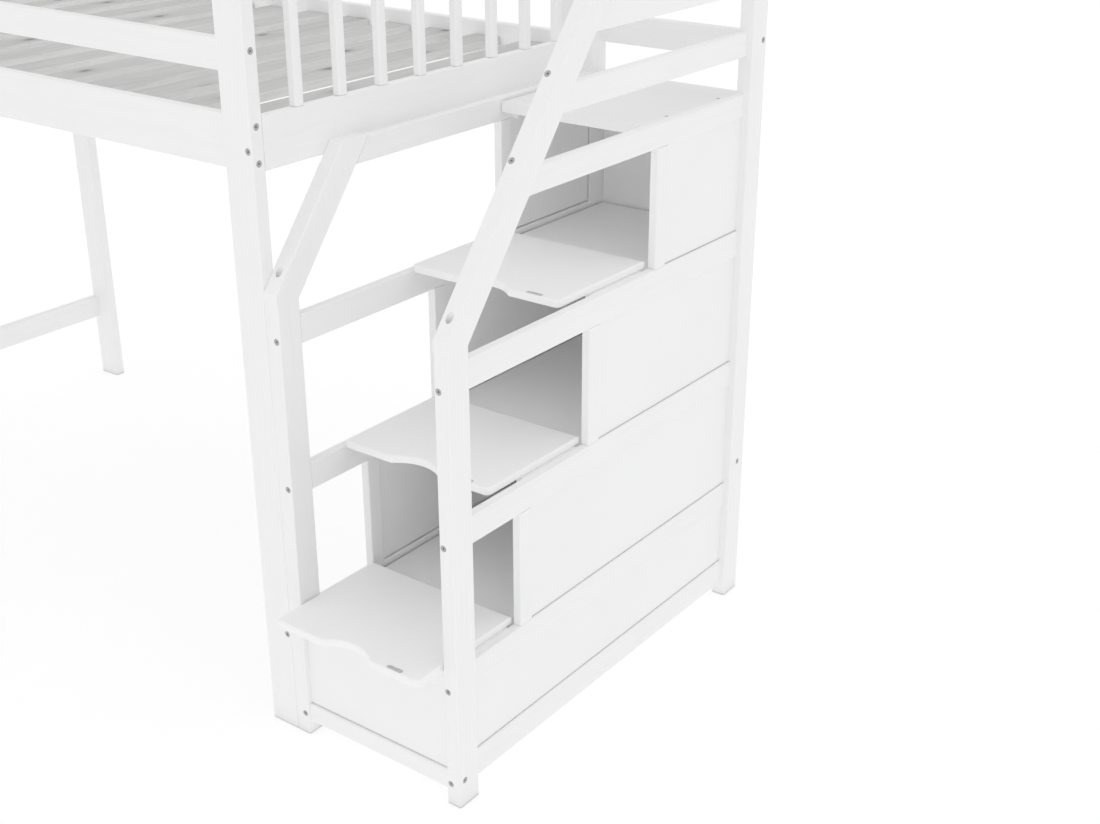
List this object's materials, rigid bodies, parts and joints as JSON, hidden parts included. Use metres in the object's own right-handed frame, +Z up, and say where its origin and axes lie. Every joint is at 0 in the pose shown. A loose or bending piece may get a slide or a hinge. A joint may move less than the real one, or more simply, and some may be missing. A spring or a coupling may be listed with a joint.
{
  "type": "loft bed with slide",
  "caption": "Raised single bed on tall posts with slatted base, guard rails, storage stairs with lift-up tread lids and slanted handrails at one end, and a straight slide at the front.",
  "frame": {"origin": "on the floor at the front, on the seam between the bed's right end posts and the stair unit's left posts", "axes": "+X from the bed towards the stair unit, along the bed's length; +Y from the front to the rear; +Z up"},
  "size_m": [2.434, 2.81, 1.65],
  "materials": {
    "white_paint": "satin white paint on solid wood and board",
    "slide_paint": "smooth satin white lacquer on board",
    "bare_pine": "unpainted knotty softwood, greyed",
    "steel": "zinc-plated"
  },
  "bodies": {
    "frame": {"back_panel": "white_paint", "bed_post_front_left": "white_paint", "bed_post_front_right": "white_paint", "bed_post_rear_left": "white_paint", "bed_post_rear_right": "white_paint", "bed_slats": "bare_pine", "compartment_floors": "white_paint", "end_rails": "white_paint", "end_stretchers": "white_paint", "end_top_rails": "white_paint", "fixed_hinge_leaves": "steel", "floor_cleats": "white_paint", "frame_bolts": "steel", "front_guard_rails": "white_paint", "front_long_rail": "white_paint", "front_panel": "white_paint", "front_rails": "white_paint", "handrail_left": "white_paint", "handrail_right": "white_paint", "hinge_rails": "white_paint", "landing_board": "white_paint", "landing_guard_rails": "white_paint", "rear_cross_boards": "white_paint", "rear_guard_rails": "white_paint", "rear_long_rail": "white_paint", "side_panels_left": "white_paint", "side_panels_right": "white_paint", "side_rails_left": "white_paint", "side_rails_right": "white_paint", "side_stiles": "white_paint", "slat_ledgers": "white_paint", "slide_battens": "white_paint", "slide_chute": "slide_paint", "slide_hooks": "steel", "slide_opening_upright": "white_paint", "slide_screws": "steel", "slide_side_boards": "white_paint", "spindles_left_end": "white_paint", "spindles_right_end": "white_paint", "stair_post_front_left": "white_paint", "stair_post_front_right": "white_paint", "stair_post_rear_left": "white_paint", "stair_post_rear_right": "white_paint", "tread_cleats": "white_paint", "wood_screws": "steel"},
    "lid_1": {"tread_lid_1": "white_paint", "lid_plate_1": "steel", "lid_screws_1": "steel", "lid_hinge_leaves_1": "steel", "lid_hinge_pins_1": "steel"},
    "lid_2": {"tread_lid_2": "white_paint", "lid_plate_2": "steel", "lid_screws_2": "steel", "lid_hinge_leaves_2": "steel", "lid_hinge_pins_2": "steel"},
    "lid_3": {"tread_lid_3": "white_paint", "lid_plate_3": "steel", "lid_screws_3": "steel", "lid_hinge_leaves_3": "steel", "lid_hinge_pins_3": "steel"}
  },
  "joints": [
    {"name": "tread_lid_1_hinge", "type": "hinge", "parent": "frame", "child": "lid_1", "pos_m": [0.228, 0.222, 0.30775], "axis": [-1, 0, 0], "range_deg": [0, 90]},
    {"name": "tread_lid_2_hinge", "type": "hinge", "parent": "frame", "child": "lid_2", "pos_m": [0.228, 0.4535, 0.62425], "axis": [-1, 0, 0], "range_deg": [0, 90]},
    {"name": "tread_lid_3_hinge", "type": "hinge", "parent": "frame", "child": "lid_3", "pos_m": [0.228, 0.684, 0.94025], "axis": [-1, 0, 0], "range_deg": [0, 85]}
  ]
}
